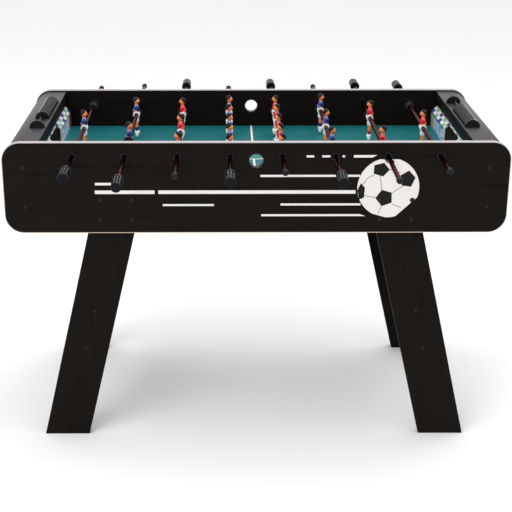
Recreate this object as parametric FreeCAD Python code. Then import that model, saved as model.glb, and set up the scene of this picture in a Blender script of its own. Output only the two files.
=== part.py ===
import FreeCAD, Part
import math
import os

# Free-standing foosball table, in millimetres.
# X runs along the table, Y across it (players stand at -Y and +Y), Z up from the floor.

V = FreeCAD.Vector
ALONG_Y = V(0, 1, 0)
UP = V(0, 0, 1)

# ---------------------------------------------------------------- driving sizes
# cabinet
table_length = 1210.0
table_width = 590.0
table_height = 780.0
side_height = 225.0
side_thickness = 15.0
corner_radius = 45.0
trim_thickness = 1.5

# end panels: top board, rounded shoulder and end wall in one bent board
end_inset = 4.0
end_board = 12.0
end_top_width = 87.0
lip_thickness = 10.0
lip_depth = 34.0
end_wall_stop = 45.0
outlet_width = 110.0
outlet_height = 44.0

# playing field and goals
field_depth = 102.0
field_board = 9.0
goal_wall_inset = 97.0
goal_wall_sheet = 4.0
goal_wall_rise = 43.0
goal_wall_run = 22.0
goal_wall_climb = 20.0
goal_mouth_width = 150.0
goal_mouth_height = 54.0
tray_sheet = 3.0
tray_margin = 4.0
tray_wall = 40.0
tray_step = 1.0
tray_fall = 14.0
tray_lip = 8.0

# rods and what is on them
rod_count = 8
keeper_gap = 70.5
rod_below_top = 35.0
rod_radius = 5.5
rod_wall = 1.2
running_gap = 0.08
seat_gap = 0.05
moving_gap = 0.3
bearing_flange_radius = 11.5
bearing_flange = 3.0
bearing_barrel_radius = 7.9
hole_gap = 0.1
bumper_disc_radius = 13.5
bumper_disc = 4.0
bumper_barrel_radius = 9.5
bumper_length = 10.0
goalie_bumper_length = 20.0
grip_length = 62.0
grip_radius = 12.3
grip_collar_radius = 13.5
grip_collar = 5.0
cap_radius = 7.5
cap_length = 14.0
socket_depth = 10.0

# players
player_half_width = 11.0
player_boss = 3.5
head_top = 47.0
head_radius = 9.0
neck_radius = 4.5
neck_length = 8.0
shoulder_height = 26.0
torso_drop = 14.0
torso_half_depth = 8.0
torso_rounding = 3.0
leg_pair_half_width = 8.0
leg_pair_half_depth = 6.0
calf_taper = 1.0
hip_drop = 8.0
ankle_drop = 46.0
shoe_half_width = 9.0
shoe_top_drop = 44.0
shoe_toe_drop = 52.0
shoe_heel_drop = 54.0
shoe_toe = 7.5
shoe_heel = 6.5
sole_half_depth = 3.5
sole_drop = 61.0

# each row of players: team, number of players, side of the grip, where the players' middle
# stands across the table at rest, and where the rod's middle stands at rest
rows = [
    ("blue", 1, -1, -9.0, 0.0),
    ("blue", 2, -1, 2.0, -21.5),
    ("red", 3, 1, -52.0, 43.0),
    ("blue", 5, -1, -47.0, -16.5),
    ("red", 5, 1, -47.0, 53.5),
    ("blue", 3, -1, -1.0, -11.0),
    ("red", 2, 1, -41.0, 21.5),
    ("red", 1, 1, -12.0, 48.0),
]
slide_travel = {1: 30.0, 2: 117.0, 3: 71.0, 5: 48.0}
rod_stand_out = {1: 362.0, 2: 463.0, 3: 420.0, 5: 397.0}

# ball entries in the two long sides
entry_below_top = 45.0
entry_bore_radius = 17.0
entry_wall = 1.2
entry_flange_radius = 20.0
entry_flange = 2.5

# legs
leg_thickness = 22.0
leg_width = 113.6
leg_foot_inset = 65.2
leg_slope = 0.2396
leg_top_gap = 6.0
stretcher_thickness = 18.0
stretcher_height = 150.0
stretcher_centre = 292.6
stretcher_screw_spacing = 102.0

# fasteners
bolt_radius = 3.0
bolt_head_radius = 6.0
bolt_head = 2.0
bolt_edge_distance = 55.925
bolt_centre_drop = 167.0
bolt_spacing_x = 76.0
bolt_spacing_z = 48.0
nut_radius = 6.5
nut_height = 5.0
screw_radius = 2.0
screw_head_radius = 4.5
screw_head = 1.0
screw_bite = 25.0
block_width = 45.0
block_depth = 40.0
block_height = 130.0
corner_screw_inset = 50.0
corner_screw_drops = (62.0, 160.0)

# scorers on the end panels
scorer_inset = 65.0
scorer_half_length = 138.0
scorer_radius = 19.0
scorer_bracket = 10.0
scorer_rod_radius = 2.0
scorer_rod_height = 8.5
bead_count = 10
bead_pitch = 17.0
bead_gap = 0.4
bead_radius = 18.0
bead_lift = 0.4
bead_groove = 3.0
bead_groove_depth = 1.2

# how far a cutting shape runs past what it cuts
past = 1.0

# ---------------------------------------------------------------- derived places
half_length = table_length / 2
half_width = table_width / 2
inner_half = half_width - side_thickness
side_bottom = table_height - side_height
field_top = table_height - field_depth
field_bottom = field_top - field_board
rod_height = table_height - rod_below_top
entry_height = table_height - entry_below_top
goal_wall_x = half_length - goal_wall_inset
rod_spacing = 2 * (goal_wall_x - keeper_gap) / (rod_count - 1)
scorer_reach = half_length - scorer_inset
end_top = table_height - end_inset
end_outer = half_length - end_inset
end_inner = end_outer - end_board
lip_face = half_length - end_top_width
leg_top = field_bottom - leg_top_gap
leg_inner_face = inner_half - leg_thickness
leg_foot_reach = half_length - leg_foot_inset

os.makedirs("parts", exist_ok=True)


# ---------------------------------------------------------------- small tools
def box(x0, x1, y0, y1, z0, z1):
    return Part.makeBox(x1 - x0, y1 - y0, z1 - z0, V(x0, y0, z0))


def rod_y(x, z, radius, y0, y1):
    return Part.makeCylinder(radius, y1 - y0, V(x, y0, z), ALONG_Y)


def prism_y(points, y0, y1):
    corners = [V(x, y0, z) for x, z in points]
    face = Part.Face(Part.makePolygon(corners + corners[:1]))
    return face.extrude(V(0, y1 - y0, 0))


def edges_along_y(shape, keep):
    chosen = []
    for edge in shape.Edges:
        a, b = edge.Vertexes[0].Point, edge.Vertexes[-1].Point
        if abs(a.x - b.x) + abs(a.z - b.z) < 0.001 and keep(a):
            chosen.append(edge)
    return chosen


def rounded_slab(reach, z0, z1, radius, y0, y1):
    slab = box(-reach, reach, y0, y1, z0, z1)
    return slab.makeFillet(radius, edges_along_y(slab, lambda p: True))


def turned(shape):
    """The same piece at the other end of the table, turned half round."""
    copy = shape.copy()
    copy.rotate(V(0, 0, 0), UP, 180)
    return copy


def save(node, solids):
    if not isinstance(solids, list):
        solids = [solids]
    shape = solids[0] if len(solids) == 1 else Part.makeCompound(solids)
    shape.exportStep("parts/" + node + ".step")


def save_both_ends(node, solids):
    save("left_" + node, solids)
    save("right_" + node, [turned(s) for s in solids])


# ---------------------------------------------------------------- shared positions
def row_x(index):
    return (index - (rod_count - 1) / 2) * rod_spacing


def leg_outer_x(z):
    return leg_foot_reach - leg_slope * z


def leg_middle_x(z):
    return leg_outer_x(z) - leg_width / 2


def bolt_places():
    """X and Z of the bolts of the left-hand leg."""
    z_middle = table_height - bolt_centre_drop
    x_middle = bolt_edge_distance - leg_outer_x(z_middle)
    places = []
    for sx in (-0.5, 0.5):
        for sz in (-0.5, 0.5):
            places.append((x_middle + sx * bolt_spacing_x, z_middle + sz * bolt_spacing_z))
    return places


def corner_screw_places():
    return [(-(half_length - corner_screw_inset), table_height - d) for d in corner_screw_drops]


def leg_screw_places():
    heights = (stretcher_centre - stretcher_screw_spacing / 2, stretcher_centre + stretcher_screw_spacing / 2)
    return [(-leg_middle_x(z), z) for z in heights]


# ---------------------------------------------------------------- cabinet sides
def side_panel():
    """The side at -Y, with its edge band."""
    outer = rounded_slab(half_length, side_bottom, table_height, corner_radius, -half_width, -inner_half)
    core = rounded_slab(
        half_length - trim_thickness,
        side_bottom + trim_thickness,
        table_height - trim_thickness,
        corner_radius - trim_thickness,
        -half_width,
        -inner_half,
    )
    trim = outer.cut(core)
    y0, y1 = -half_width - past, -inner_half + past
    for index in range(rod_count):
        core = core.cut(rod_y(row_x(index), rod_height, bearing_barrel_radius + hole_gap, y0, y1))
    core = core.cut(rod_y(0, entry_height, entry_bore_radius + entry_wall + hole_gap, y0, y1))
    for x, z in bolt_places():
        for side in (1, -1):
            core = core.cut(rod_y(side * x, z, bolt_radius + hole_gap, y0, y1))
    for x, z in corner_screw_places():
        for side in (1, -1):
            core = core.cut(rod_y(side * x, z, screw_radius + hole_gap, y0, y1))
    return core, trim


panel, edge_band = side_panel()
save("front_side_panel", panel)
save("back_side_panel", turned(panel))
save("front_edge_trim", edge_band)
save("back_edge_trim", turned(edge_band))


# ---------------------------------------------------------------- end panels
def end_panel():
    """The bent board at -X: top, rounded shoulder, end wall, and the lip over the goal wall."""
    shoulder = corner_radius - end_inset
    low = side_bottom + end_wall_stop
    y0, y1 = -inner_half, inner_half
    outer = box(-end_outer, -lip_face, y0, y1, low, end_top)
    outer = outer.makeFillet(
        shoulder, edges_along_y(outer, lambda p: p.x < -end_outer + past and p.z > end_top - past)
    )
    lip_back = -lip_face - lip_thickness
    inner_top = end_top - end_board
    inner = box(-end_inner, lip_back, y0, y1, low - past, inner_top)
    inner = inner.makeFillet(
        shoulder - end_board,
        edges_along_y(inner, lambda p: p.x < -end_inner + past and p.z > inner_top - past),
    )
    below_lip = box(lip_back - past, -lip_face + past, y0, y1, low - past, end_top - lip_depth)
    outlet_low = field_top - tray_fall
    outlet = box(
        -end_outer - past,
        -end_inner + past,
        -outlet_width / 2,
        outlet_width / 2,
        outlet_low,
        outlet_low + outlet_height,
    )
    return outer.cut(inner).cut(below_lip).cut(outlet)


save_both_ends("end_panel", [end_panel()])


# ---------------------------------------------------------------- field and goals
save(
    "playfield",
    box(
        -goal_wall_x - goal_wall_sheet,
        goal_wall_x + goal_wall_sheet,
        -inner_half,
        inner_half,
        field_bottom,
        field_top,
    ),
)


def goal_wall():
    """Upright printed wall that bends back to run up under the end panel, with the goal mouth."""
    slope = math.atan2(goal_wall_climb, goal_wall_run)
    bend_z = field_top + goal_wall_rise
    miter = goal_wall_sheet * math.tan(math.pi / 4 - slope / 2)
    back_x = -goal_wall_x - goal_wall_sheet
    bend_back_z = bend_z - miter
    shoulder_start = half_length - corner_radius
    top_z = min(end_top - end_board, bend_back_z + (shoulder_start + back_x) * math.tan(slope))
    points = [
        (-goal_wall_x, field_top),
        (-goal_wall_x, bend_z),
        (-goal_wall_x - (top_z - bend_z) / math.tan(slope), top_z),
        (back_x - (top_z - bend_back_z) / math.tan(slope), top_z),
        (back_x, bend_back_z),
        (back_x, field_top),
    ]
    sheet = prism_y(points, -inner_half, inner_half)
    mouth = box(
        -half_length,
        -goal_wall_x + past,
        -goal_mouth_width / 2,
        goal_mouth_width / 2,
        field_top - past,
        field_top + goal_mouth_height,
    )
    return sheet.cut(mouth)


def goal_tray():
    """Ball tray behind the goal mouth: a falling floor, two sides and a lip at the outlet."""
    near = -goal_wall_x - goal_wall_sheet
    far = -end_inner
    half = goal_mouth_width / 2 + tray_margin
    floor_near = field_top - tray_step
    floor_far = field_top - tray_fall
    floor = prism_y(
        [
            (near, floor_near),
            (near, floor_near - tray_sheet),
            (far, floor_far - tray_sheet),
            (far, floor_far + tray_lip),
            (far + tray_sheet, floor_far + tray_lip),
            (far + tray_sheet, floor_far),
        ],
        -half,
        half,
    )
    tray = floor
    for y in (-half - tray_sheet, half):
        tray = tray.fuse(
            box(far, near, y, y + tray_sheet, floor_far - tray_sheet, floor_far - tray_sheet + tray_wall)
        )
    return tray.removeSplitter()


save_both_ends("goal_wall", [goal_wall()])
save_both_ends("goal_tray", [goal_tray()])


# ---------------------------------------------------------------- bearings and ball entries
def flanged_sleeve(x, z, bore, barrel, flange_radius, flange):
    """A sleeve through the side at -Y, flanged on both faces."""
    sleeve = rod_y(x, z, barrel, -half_width, -inner_half)
    sleeve = sleeve.fuse(rod_y(x, z, flange_radius, -half_width - flange, -half_width))
    sleeve = sleeve.fuse(rod_y(x, z, flange_radius, -inner_half, -inner_half + flange))
    return sleeve.cut(rod_y(x, z, bore, -half_width - flange - past, -inner_half + flange + past))


bearings = [
    flanged_sleeve(
        row_x(index),
        rod_height,
        rod_radius + running_gap,
        bearing_barrel_radius,
        bearing_flange_radius,
        bearing_flange,
    )
    for index in range(rod_count)
]
save("front_rod_bearings", bearings)
save("back_rod_bearings", [turned(b) for b in bearings])

entry = flanged_sleeve(
    0, entry_height, entry_bore_radius, entry_bore_radius + entry_wall, entry_flange_radius, entry_flange
)
save("ball_entry_cups", [entry, turned(entry)])


# ---------------------------------------------------------------- rows of players
def player():
    """One player about a rod at the origin, facing +X."""
    half = player_half_width
    body = box(-torso_half_depth, torso_half_depth, -half, half, -torso_drop, shoulder_height)
    body = body.makeFillet(torso_rounding, body.Edges)
    head = Part.makeSphere(head_radius, V(0, 0, head_top - head_radius))
    neck = Part.makeCylinder(neck_radius, neck_length, V(0, 0, shoulder_height - torso_rounding), UP)
    legs = prism_y(
        [
            (-leg_pair_half_depth, -hip_drop),
            (leg_pair_half_depth, -hip_drop),
            (leg_pair_half_depth, -ankle_drop),
            (-leg_pair_half_depth + calf_taper, -ankle_drop),
        ],
        -leg_pair_half_width,
        leg_pair_half_width,
    )
    foot = prism_y(
        [
            (-shoe_heel, -shoe_top_drop),
            (shoe_toe, -shoe_top_drop),
            (shoe_toe, -shoe_toe_drop),
            (sole_half_depth, -sole_drop),
            (-sole_half_depth, -sole_drop),
            (-shoe_heel, -shoe_heel_drop),
        ],
        -shoe_half_width,
        shoe_half_width,
    )
    boss = rod_y(0, 0, rod_radius + player_boss, -half, half)
    figure = body.fuse(head).fuse(neck).fuse(legs).fuse(foot).fuse(boss)
    return figure.cut(rod_y(0, 0, rod_radius + seat_gap, -half - past, half + past))


def outer_player(count):
    """How far the outermost player stands from the middle of the row."""
    reach = inner_half - bearing_flange - bumper_length - player_half_width
    return reach - 2 * moving_gap - slide_travel[count]


def player_offsets(count):
    if count == 1:
        return [0.0]
    step = 2 * outer_player(count) / (count - 1)
    return [-outer_player(count) + step * k for k in range(count)]


def bumper(x, y_face, out, length):
    """Rubber bumper from y_face outwards; out is -1 or 1, and the disc is on the wall side."""
    y_end = y_face + out * length
    y_disc = y_end - out * bumper_disc
    barrel = rod_y(x, rod_height, bumper_barrel_radius, min(y_face, y_disc), max(y_face, y_disc))
    disc = rod_y(x, rod_height, bumper_disc_radius, min(y_disc, y_end), max(y_disc, y_end))
    ring = barrel.fuse(disc)
    return ring.cut(rod_y(x, rod_height, rod_radius + running_gap, y_face - 2 * length, y_face + 2 * length))


def row_bumpers(x, count, middle):
    """A bumper beside each outermost player; a lone keeper's stand near the walls."""
    if count == 1:
        length = goalie_bumper_length
        face = inner_half - bearing_flange - moving_gap - slide_travel[count] - length
    else:
        length = bumper_length
        face = outer_player(count) + player_half_width + moving_gap
    return [bumper(x, middle + out * face, out, length) for out in (-1, 1)]


def grip(x, y_end, out):
    """Hand grip whose outer end is at y_end, pointing out (-1 or 1)."""
    y_collar = y_end - out * grip_length
    y_neck = y_collar + out * grip_collar
    collar = rod_y(x, rod_height, grip_collar_radius, min(y_collar, y_neck), max(y_collar, y_neck))
    handle = rod_y(x, rod_height, grip_radius, min(y_neck, y_end), max(y_neck, y_end))
    y_stop = y_end - out * socket_depth
    ends = sorted([y_collar - out * past, y_stop])
    return collar.fuse(handle).cut(rod_y(x, rod_height, rod_radius + seat_gap, ends[0], ends[1]))


def end_cap(x, y_end, out):
    """Small round-nosed cap over the bare end of a rod."""
    y_mouth = y_end - out * cap_length
    y_nose = y_end - out * cap_radius
    shell = rod_y(x, rod_height, cap_radius, min(y_mouth, y_nose), max(y_mouth, y_nose))
    shell = shell.fuse(Part.makeSphere(cap_radius, V(x, y_nose, rod_height)))
    ends = sorted([y_mouth - out * past, y_nose])
    return shell.cut(rod_y(x, rod_height, rod_radius + seat_gap, ends[0], ends[1]))


for index, (team, count, grip_side, middle, rod_middle) in enumerate(rows):
    name = "row_%d_" % (index + 1)
    x = row_x(index)
    half_rod = (table_width + rod_stand_out[count]) / 2
    y_grip = rod_middle + grip_side * half_rod
    y_cap = rod_middle - grip_side * half_rod
    y_tube = sorted([y_grip - grip_side * socket_depth, y_cap + grip_side * cap_radius])
    tube = rod_y(x, rod_height, rod_radius, y_tube[0], y_tube[1])
    tube = tube.cut(rod_y(x, rod_height, rod_radius - rod_wall, y_tube[0] - past, y_tube[1] + past))
    save(name + "rod", tube)
    figures = []
    for offset in player_offsets(count):
        figure = player()
        if team == "red":
            figure.rotate(V(0, 0, 0), UP, 180)
        figure.translate(V(x, middle + offset, rod_height))
        figures.append(figure)
    save(name + team + "_players", figures)
    save(name + "bumpers", row_bumpers(x, count, middle))
    save(name + "grip_and_cap", [grip(x, y_grip, grip_side), end_cap(x, y_cap, -grip_side)])


# ---------------------------------------------------------------- legs
def leg():
    """The leg at -X, -Y: a slanting flat board bolted inside the side panel."""
    outline = [
        (-leg_outer_x(0), 0),
        (-leg_outer_x(0) + leg_width, 0),
        (-leg_outer_x(leg_top) + leg_width, leg_top),
        (-leg_outer_x(leg_top), leg_top),
    ]
    board = prism_y(outline, -inner_half, -leg_inner_face)
    y0, y1 = -inner_half - past, -leg_inner_face + past
    for x, z in bolt_places():
        board = board.cut(rod_y(x, z, bolt_radius + hole_gap, y0, y1))
    for x, z in leg_screw_places():
        board = board.cut(rod_y(x, z, screw_radius + hole_gap, y0, y1))
    return board


def mirrored(shape):
    return shape.mirror(V(0, 0, 0), V(1, 0, 0))


front_left = leg()
save("front_left_leg", front_left)
save("front_right_leg", mirrored(front_left))
save("back_left_leg", turned(mirrored(front_left)))
save("back_right_leg", turned(front_left))


def stretcher():
    """Board between the front and back leg at -X, leaning with them."""
    board = box(
        -stretcher_thickness / 2,
        stretcher_thickness / 2,
        -leg_inner_face,
        leg_inner_face,
        -stretcher_height / 2,
        stretcher_height / 2,
    )
    board.rotate(V(0, 0, 0), ALONG_Y, math.degrees(math.atan(leg_slope)))
    board.translate(V(-leg_middle_x(stretcher_centre), 0, stretcher_centre))
    for x, z in leg_screw_places():
        for out in (-1, 1):
            ends = sorted([out * (leg_inner_face + past), out * (leg_inner_face - screw_bite - past)])
            board = board.cut(rod_y(x, z, screw_radius + hole_gap, ends[0], ends[1]))
    return board


save_both_ends("leg_stretcher", [stretcher()])


# ---------------------------------------------------------------- blocks and fasteners
def corner_block():
    """Wooden block that joins the side at -Y to the end wall at -X."""
    top = table_height - corner_radius
    block = box(
        -end_inner,
        -end_inner + block_width,
        -inner_half,
        -inner_half + block_depth,
        top - block_height,
        top,
    )
    for x, z in corner_screw_places():
        block = block.cut(
            rod_y(x, z, screw_radius + hole_gap, -inner_half - past, -inner_half + screw_bite + past)
        )
    return block


def four_ways(solids):
    """Left, right, front and back copies of pieces made at -X, -Y."""
    pairs = solids + [mirrored(s) for s in solids]
    return pairs + [turned(s) for s in pairs]


save("corner_blocks", four_ways([corner_block()]))


def bolt_and_nut(x, z):
    nut_face = -leg_inner_face
    bolt = rod_y(x, z, bolt_radius, -half_width, nut_face + nut_height)
    bolt = bolt.fuse(rod_y(x, z, bolt_head_radius, -half_width - bolt_head, -half_width))
    nut = rod_y(x, z, nut_radius, nut_face, nut_face + nut_height)
    nut = nut.cut(rod_y(x, z, bolt_radius + seat_gap, nut_face - past, nut_face + nut_height + past))
    return [bolt, nut]


def screw(x, z, y_face, thickness):
    shank = rod_y(x, z, screw_radius, y_face, y_face + thickness + screw_bite)
    return shank.fuse(rod_y(x, z, screw_head_radius, y_face - screw_head, y_face))


fasteners = []
for x, z in bolt_places():
    fasteners += bolt_and_nut(x, z)
save("leg_bolts", four_ways(fasteners))

screws = [screw(x, z, -half_width, side_thickness) for x, z in corner_screw_places()]
screws += [screw(x, z, -inner_half, leg_thickness) for x, z in leg_screw_places()]
save("cabinet_screws", four_ways(screws))


# ---------------------------------------------------------------- scorers
def arch(radius, y0, y1, lift):
    """A half-round block standing on the end panel."""
    z = end_top + lift
    reach = radius + past
    block = rod_y(-scorer_reach, z, radius, y0, y1)
    lower = box(-scorer_reach - reach, -scorer_reach + reach, y0 - past, y1 + past, z - reach, z)
    return block.cut(lower)


scorer_axis = end_top + scorer_rod_height
bracket_inner = scorer_half_length - scorer_bracket
rod_end = bracket_inner + scorer_bracket / 2
brackets = []
for y0 in (-scorer_half_length, bracket_inner):
    bracket = arch(scorer_radius, y0, y0 + scorer_bracket, 0)
    bracket = bracket.cut(
        rod_y(-scorer_reach, scorer_axis, scorer_rod_radius + seat_gap, -rod_end, rod_end)
    )
    brackets.append(bracket)
save_both_ends("scorer_brackets", brackets)

scorer_rod = rod_y(-scorer_reach, scorer_axis, scorer_rod_radius, -rod_end, rod_end)
save("scorer_rods", [scorer_rod, turned(scorer_rod)])


def bead(y_start):
    """One scoring bead with a waist groove round it."""
    y_stop = y_start + bead_pitch - bead_gap
    middle = (y_start + y_stop) / 2
    y0, y1 = middle - bead_groove / 2, middle + bead_groove / 2
    block = arch(bead_radius, y_start, y_stop, bead_lift)
    groove = arch(bead_radius + past, y0, y1, bead_lift - past)
    groove = groove.cut(arch(bead_radius - bead_groove_depth, y0 - past, y1 + past, bead_lift - past))
    hole = rod_y(-scorer_reach, scorer_axis, scorer_rod_radius + running_gap, y_start - past, y_stop + past)
    return block.cut(groove).cut(hole)


first_bead = bracket_inner - bead_count * bead_pitch
save_both_ends("score_beads", [bead(first_bead + k * bead_pitch) for k in range(bead_count)])
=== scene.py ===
import math

import bpy
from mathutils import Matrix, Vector


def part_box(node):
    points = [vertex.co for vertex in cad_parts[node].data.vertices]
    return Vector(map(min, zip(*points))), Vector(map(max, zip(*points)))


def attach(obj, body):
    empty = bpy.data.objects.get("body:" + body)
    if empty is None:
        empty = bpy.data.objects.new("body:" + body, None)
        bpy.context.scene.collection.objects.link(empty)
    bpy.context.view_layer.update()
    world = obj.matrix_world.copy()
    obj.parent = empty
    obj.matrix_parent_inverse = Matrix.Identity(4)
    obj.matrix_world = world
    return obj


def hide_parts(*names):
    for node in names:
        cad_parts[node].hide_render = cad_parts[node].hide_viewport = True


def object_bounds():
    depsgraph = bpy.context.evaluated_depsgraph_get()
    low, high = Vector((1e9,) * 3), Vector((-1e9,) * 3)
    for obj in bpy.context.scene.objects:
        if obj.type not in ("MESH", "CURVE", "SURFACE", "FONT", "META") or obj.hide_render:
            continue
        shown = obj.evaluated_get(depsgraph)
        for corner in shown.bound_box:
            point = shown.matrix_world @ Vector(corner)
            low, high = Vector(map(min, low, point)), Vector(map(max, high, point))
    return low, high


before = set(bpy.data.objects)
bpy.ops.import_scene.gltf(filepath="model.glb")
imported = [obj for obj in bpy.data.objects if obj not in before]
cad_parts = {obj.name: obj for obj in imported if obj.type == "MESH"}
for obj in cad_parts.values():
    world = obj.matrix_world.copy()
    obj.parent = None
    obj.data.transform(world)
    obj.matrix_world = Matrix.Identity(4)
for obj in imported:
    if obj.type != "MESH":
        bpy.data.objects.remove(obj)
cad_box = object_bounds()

bl_info = {
    "name": "Foosball Table Looks",
    "version": (1, 0, 0),
    "blender": (4, 5, 0),
    "location": "View3D > Sidebar > Foosball",
    "description": "Builds the visible pieces and finishes of a free-standing foosball table",
    "category": "Object",
}

MM = 0.001
ROWS = range(1, 9)
TEAM = {i: "blue" if "row_%d_blue_players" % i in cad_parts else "red" for i in ROWS}
PLAYER_COUNT = {1: 1, 2: 2, 3: 3, 4: 5, 5: 5, 6: 3, 7: 2, 8: 1}
FRONT_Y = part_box("front_side_panel")[0].y
BACK_Y = -FRONT_Y
INNER_Y = -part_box("front_side_panel")[1].y
FIELD_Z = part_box("playfield")[1].z

# millimetres, degrees where said
GRIP_LENGTH = 62
CAP_LENGTH = 14
BOLT_HEAD_HEIGHT = 2.0
SCREW_HEAD_HEIGHT = 1.0
BEAD_RADIUS = 18.0
LABEL_REACH = 17.9
LABEL_LEAN_DEGREES = 34

# the fitted camera, in metres and degrees
CAMERA_PLACE = (-0.0777, -3.0838, 1.5116)
CAMERA_TURN = (69.20, 0.06, -0.09)
CAMERA_LENS = 85.49
CAMERA_SHIFT = (0.0604, 0.032)
LIGHTS_AIM = (0, 0, 0.65)


# ------------------------------------------------------------------ modelling helpers
def deselect():
    if bpy.context.mode != "OBJECT":
        bpy.ops.object.mode_set(mode="OBJECT")
    bpy.ops.object.select_all(action="DESELECT")


def take(piece):
    deselect()
    piece.select_set(True)
    bpy.context.view_layer.objects.active = piece


def primitive(kind, name, **settings):
    """Adds a mesh primitive with its size in its mesh."""
    deselect()
    getattr(bpy.ops.mesh, "primitive_" + kind + "_add")(**settings)
    piece = bpy.context.active_object
    piece.name = name
    piece.data.name = name
    bpy.ops.object.transform_apply(location=True, rotation=True, scale=True)
    return piece


def block(name, low, high):
    """A box from its lowest to its highest corner, in millimetres."""
    size = [(b - a) * MM for a, b in zip(low, high)]
    middle = [(a + b) / 2 * MM for a, b in zip(low, high)]
    piece = primitive("cube", name, size=1)
    return place(piece, middle, scale=size)


def place(piece, location=(0, 0, 0), rotation=(0, 0, 0), scale=(1, 1, 1)):
    """Moves, turns and sizes a piece in its mesh, so its object stays at the origin."""
    take(piece)
    piece.location = location
    piece.rotation_euler = rotation
    piece.scale = scale
    bpy.ops.object.transform_apply(location=True, rotation=True, scale=True)
    return piece


def select(piece, kind, test):
    """Enters edit mode with the faces or corners selected that pass the test."""
    take(piece)
    bpy.ops.object.mode_set(mode="EDIT")
    bpy.ops.mesh.select_mode(type=kind)
    bpy.ops.mesh.select_all(action="DESELECT")
    bpy.ops.object.mode_set(mode="OBJECT")
    if kind == "FACE":
        for face in piece.data.polygons:
            face.select = test(face.center, face.normal)
    else:
        for corner in piece.data.vertices:
            corner.select = test(corner.co)
    bpy.ops.object.mode_set(mode="EDIT")


def edit_all(piece):
    """Enters edit mode with everything selected."""
    take(piece)
    bpy.ops.object.mode_set(mode="EDIT")
    bpy.ops.mesh.select_all(action="SELECT")


def merge_doubles(threshold=0.00001):
    bpy.ops.mesh.remove_doubles(threshold=threshold)


def done_editing(piece):
    bpy.ops.mesh.select_all(action="SELECT")
    bpy.ops.mesh.normals_make_consistent(inside=False)
    bpy.ops.object.mode_set(mode="OBJECT")
    return piece


def smooth(piece, degrees=35):
    take(piece)
    bpy.ops.object.shade_smooth_by_angle(angle=math.radians(degrees))
    return piece


def modified(piece, kind, **settings):
    """Adds a modifier and applies it."""
    take(piece)
    bpy.ops.object.modifier_add(type=kind)
    modifier = piece.modifiers[-1]
    for setting, value in settings.items():
        setattr(modifier, setting, value)
    bpy.ops.object.modifier_apply(modifier=modifier.name)
    return piece


def bevelled(piece, width, segments=2, degrees=30):
    """Rounds the edges sharper than the given angle; width in millimetres."""
    angle = math.radians(degrees)
    modified(piece, "BEVEL", width=width * MM, segments=segments, limit_method="ANGLE", angle_limit=angle)
    return smooth(piece)


def stack(name, rings, around=32, bored=False):
    """Rings (half X, half Y, height, X of the middle), in millimetres, pulled up one from the other."""
    rings = [tuple(ring) + (0.0,) * (4 - len(ring)) for ring in rings]
    half_x, half_y, height, middle = [value * MM for value in rings[0]]
    piece = primitive("circle", name, vertices=around, radius=1)
    place(piece, (middle, 0, height), scale=(half_x, half_y, 1))
    bpy.ops.object.mode_set(mode="EDIT")
    bpy.ops.mesh.select_mode(type="EDGE")
    bpy.ops.mesh.select_all(action="SELECT")
    for ring in rings[1:]:
        next_x, next_y, next_height, next_middle = [value * MM for value in ring]
        step = (next_middle - middle, 0, next_height - height)
        bpy.ops.mesh.extrude_region_move(TRANSFORM_OT_translate={"value": step})
        share = (next_x / half_x, next_y / half_y, 1)
        bpy.ops.transform.resize(value=share, center_override=(next_middle, 0, next_height))
        half_x, half_y, height, middle = next_x, next_y, next_height, next_middle
    bpy.ops.mesh.select_all(action="DESELECT")
    bpy.ops.mesh.select_non_manifold()
    if bored:
        bpy.ops.mesh.bridge_edge_loops()
    else:
        bpy.ops.mesh.select_all(action="SELECT")
        bpy.ops.mesh.fill_holes(sides=0)
    return done_editing(piece)


def turned(name, rings, around=32, bored=False, degrees=35):
    """A round piece about the Z axis from rings of (radius, height), in millimetres."""
    return smooth(stack(name, [(r, r, z) for r, z in rings], around, bored), degrees)


def cut(piece, point, normal):
    """Cuts away what lies on the side the normal points to and closes the cut; in millimetres."""
    edit_all(piece)
    bpy.ops.mesh.bisect(
        plane_co=[p * MM for p in point], plane_no=normal, use_fill=True, clear_outer=True
    )
    return done_editing(piece)


def copy_of(piece, name):
    take(piece)
    bpy.ops.object.duplicate(linked=False)
    made = bpy.context.active_object
    made.name = name
    made.data.name = name
    return made


def joined(name, pieces):
    deselect()
    for piece in pieces:
        piece.select_set(True)
    bpy.context.view_layer.objects.active = pieces[0]
    if len(pieces) > 1:
        bpy.ops.object.join()
    pieces[0].name = name
    pieces[0].data.name = name
    return pieces[0]


def painted(piece, finish):
    """The piece takes one finish, by its name."""
    piece.data.materials.clear()
    piece.data.materials.append(FINISHES[finish])
    return piece


def settle(piece, body, slot, *nodes):
    """The piece rides on a body and stands for CAD nodes, which it hides; the slot is not used."""
    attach(piece, body)
    if nodes:
        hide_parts(*nodes)
    return piece


def about_x(degrees):
    return (math.radians(degrees), 0, 0)


def drop(*pieces):
    for piece in pieces:
        bpy.data.objects.remove(piece)


def row_axis(index):
    low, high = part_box("row_%d_rod" % index)
    return (low.x + high.x) / 2, (low.z + high.z) / 2


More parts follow.
